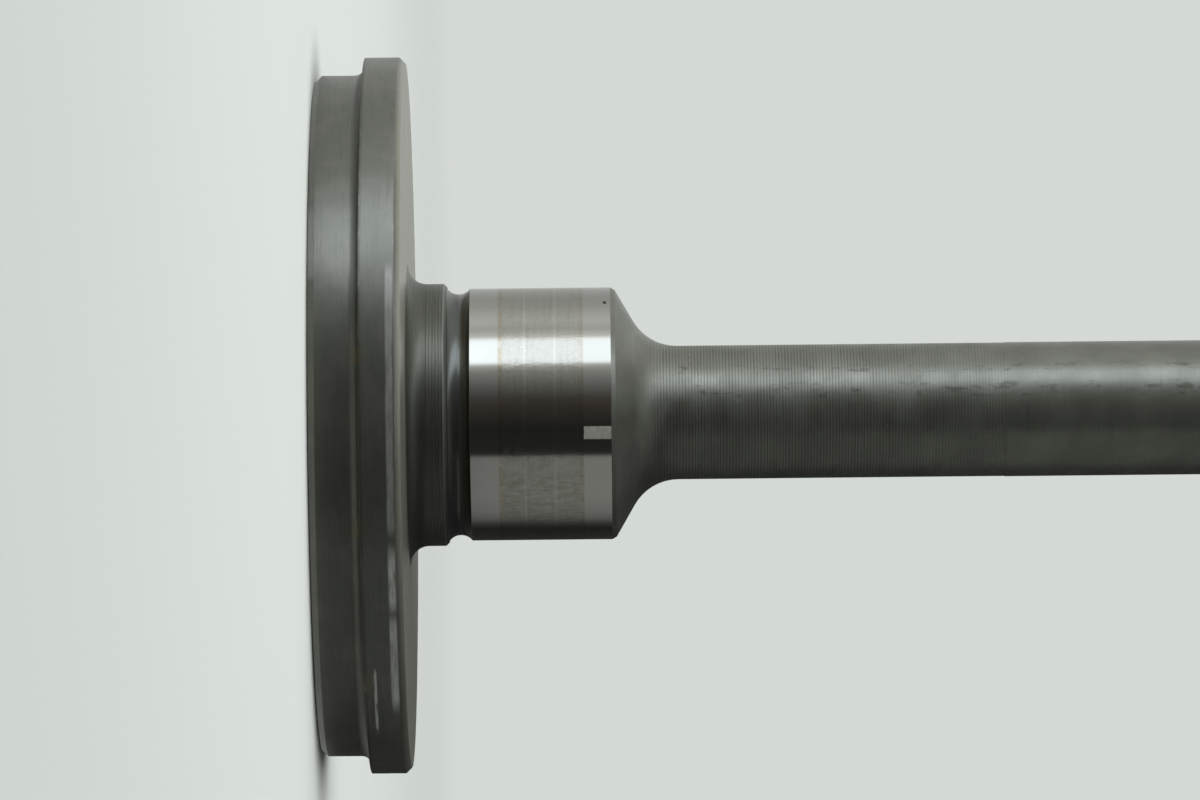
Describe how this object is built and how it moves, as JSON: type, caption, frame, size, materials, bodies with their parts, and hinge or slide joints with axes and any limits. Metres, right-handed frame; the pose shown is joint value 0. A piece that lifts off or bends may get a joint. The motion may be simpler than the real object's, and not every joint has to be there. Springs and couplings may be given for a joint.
{
  "type": "stepped shaft",
  "caption": "Stepped steel shaft with a round end flange and locating spigot, a ground journal behind a relief groove, and a long plain round shank.",
  "frame": {"origin": "centre of the flange's seat face, on which the part stands", "axes": "+Z along the shaft's axis, from the flange towards the free end; X and Y are any two radial directions, since the part is round"},
  "size_m": [0.0852, 0.0852, 0.1401],
  "materials": {
    "steel": "dull grey-green phosphated steel as turned, with the journal ground bright"
  },
  "bodies": {
    "root": {"stepped_shaft": "steel"}
  },
  "joints": []
}
